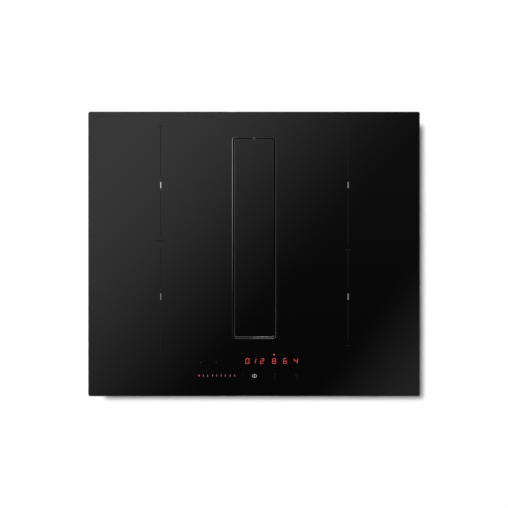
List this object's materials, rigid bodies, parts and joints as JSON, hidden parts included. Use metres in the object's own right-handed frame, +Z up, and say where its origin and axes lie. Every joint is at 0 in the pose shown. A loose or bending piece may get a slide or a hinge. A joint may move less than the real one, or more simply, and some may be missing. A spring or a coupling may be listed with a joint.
{
  "type": "downdraft induction cooktop",
  "caption": "Black glass induction cooktop with a central suction slot closed by a tilting glass flap, and an extraction blower under the worktop.",
  "frame": {"origin": "bottom centre of the bounding box", "axes": "+X to the right of someone standing in front, +Y to the rear, +Z up out of the glass"},
  "size_m": [0.6, 0.515, 0.21],
  "materials": {
    "black_glass": "polished black glass ceramic",
    "gasket_rubber": "matt foam rubber",
    "frame_aluminium": "satin",
    "stainless": "brushed",
    "filter_mesh": "satin",
    "flap_plastic": "matt moulded",
    "housing_plastic": "fine textured",
    "tray_plastic": "smooth matt",
    "galvanised_sheet": "zinc coated sheet",
    "clip_steel": "spring steel",
    "screw_steel": "zinc plated",
    "charcoal": "porous",
    "impeller_plastic": "moulded",
    "motor_steel": "turned",
    "stator_iron": "laminated",
    "isolator_rubber": "matt",
    "coil_copper": "stranded copper",
    "former_plastic": "glass filled",
    "ferrite": "sintered",
    "mica": "pressed sheet",
    "sensor_ceramic": "unglazed",
    "board_laminate": "solder mask",
    "heat_sink_aluminium": "extruded",
    "capacitor_sleeve": "shrink sleeve",
    "choke_winding": "enamelled wire",
    "fan_plastic": "moulded",
    "display_body": "matt",
    "light_guide": "clear acrylic",
    "wire_insulation": "smooth",
    "terminal_plastic": "moulded",
    "gland_plastic": "moulded"
  },
  "bodies": {
    "housing": {"board_carrier": "flap_plastic", "cable_gland": "gland_plastic", "capacitors": "capacitor_sleeve", "carrier_springs": "clip_steel", "casing_tray": "galvanised_sheet", "chute": "housing_plastic", "chute_seal": "gasket_rubber", "circuit_boards": "board_laminate", "coil_carriers": "frame_aluminium", "coil_ferrites": "ferrite", "coil_formers": "former_plastic", "coil_left_front": "coil_copper", "coil_left_rear": "coil_copper", "coil_right_front": "coil_copper", "coil_right_rear": "coil_copper", "cooling_fan_frames": "fan_plastic", "display_modules": "display_body", "filter_chokes": "choke_winding", "filter_partition": "housing_plastic", "glass_top": "black_glass", "heat_sinks": "heat_sink_aluminium", "housing_screws": "screw_steel", "internal_wiring": "wire_insulation", "mica_sheets": "mica", "motor_bearings": "motor_steel", "motor_mount": "frame_aluminium", "motor_stator": "stator_iron", "outlet_collar": "housing_plastic", "outlet_diffuser": "housing_plastic", "perimeter_gasket": "gasket_rubber", "plenum_base": "housing_plastic", "plenum_lid": "housing_plastic", "scroll_isolators": "isolator_rubber", "scroll_lower": "housing_plastic", "scroll_upper": "housing_plastic", "side_clips": "clip_steel", "slider_light_guide": "light_guide", "slot_trim": "stainless", "support_frame": "frame_aluminium", "temperature_sensors": "sensor_ceramic", "terminal_block": "terminal_plastic", "terminal_box": "terminal_plastic", "touch_springs": "clip_steel"},
    "cassette": {"cassette_frame": "stainless", "grease_filter_frame": "stainless", "grease_filter_mesh": "filter_mesh"},
    "flap": {"flap_glass": "black_glass", "flap_carrier": "flap_plastic", "flap_pivot_pins": "stainless"},
    "drip_tray": {"drip_tray": "tray_plastic"},
    "odour_filter_front": {"odour_filter_frame_front": "tray_plastic", "charcoal_block_front": "charcoal"},
    "odour_filter_rear": {"odour_filter_frame_rear": "tray_plastic", "charcoal_block_rear": "charcoal"},
    "blower_rotor": {"impeller": "impeller_plastic", "motor_rotor": "motor_steel", "motor_shaft": "motor_steel"},
    "cooling_rotor_left": {"cooling_fan_rotor_left": "fan_plastic"},
    "cooling_rotor_right": {"cooling_fan_rotor_right": "fan_plastic"},
    "terminal_cover": {"terminal_cover": "terminal_plastic"}
  },
  "joints": [
    {"name": "cassette_lift", "type": "slide", "parent": "housing", "child": "cassette", "axis": [0, 0, 1], "range_m": [0, 0.08]},
    {"name": "flap_tilt", "type": "hinge", "parent": "cassette", "child": "flap", "pos_m": [0, 0.029, 0.203], "axis": [0, 1, 0], "range_deg": [0, 70]},
    {"name": "drip_tray_slide", "type": "slide", "parent": "housing", "child": "drip_tray", "axis": [0, -1, 0], "range_m": [0, 0.43]},
    {"name": "odour_filter_front_slide", "type": "slide", "parent": "housing", "child": "odour_filter_front", "axis": [-1, 0, 0], "range_m": [0, 0.09]},
    {"name": "odour_filter_rear_slide", "type": "slide", "parent": "housing", "child": "odour_filter_rear", "axis": [-1, 0, 0], "range_m": [0, 0.09]},
    {"name": "blower_spin", "type": "hinge", "parent": "housing", "child": "blower_rotor", "pos_m": [0.16, -0.05, 0.09], "axis": [0, 0, 1], "continuous": true},
    {"name": "cooling_fan_left_spin", "type": "hinge", "parent": "housing", "child": "cooling_rotor_left", "pos_m": [-0.225, -0.188, 0.15], "axis": [0, 0, 1], "continuous": true},
    {"name": "cooling_fan_right_spin", "type": "hinge", "parent": "housing", "child": "cooling_rotor_right", "pos_m": [0.225, -0.188, 0.15], "axis": [0, 0, 1], "continuous": true},
    {"name": "terminal_cover_swing", "type": "hinge", "parent": "housing", "child": "terminal_cover", "pos_m": [-0.185, 0.2373, 0.106], "axis": [1, 0, 0], "range_deg": [0, 100]}
  ]
}
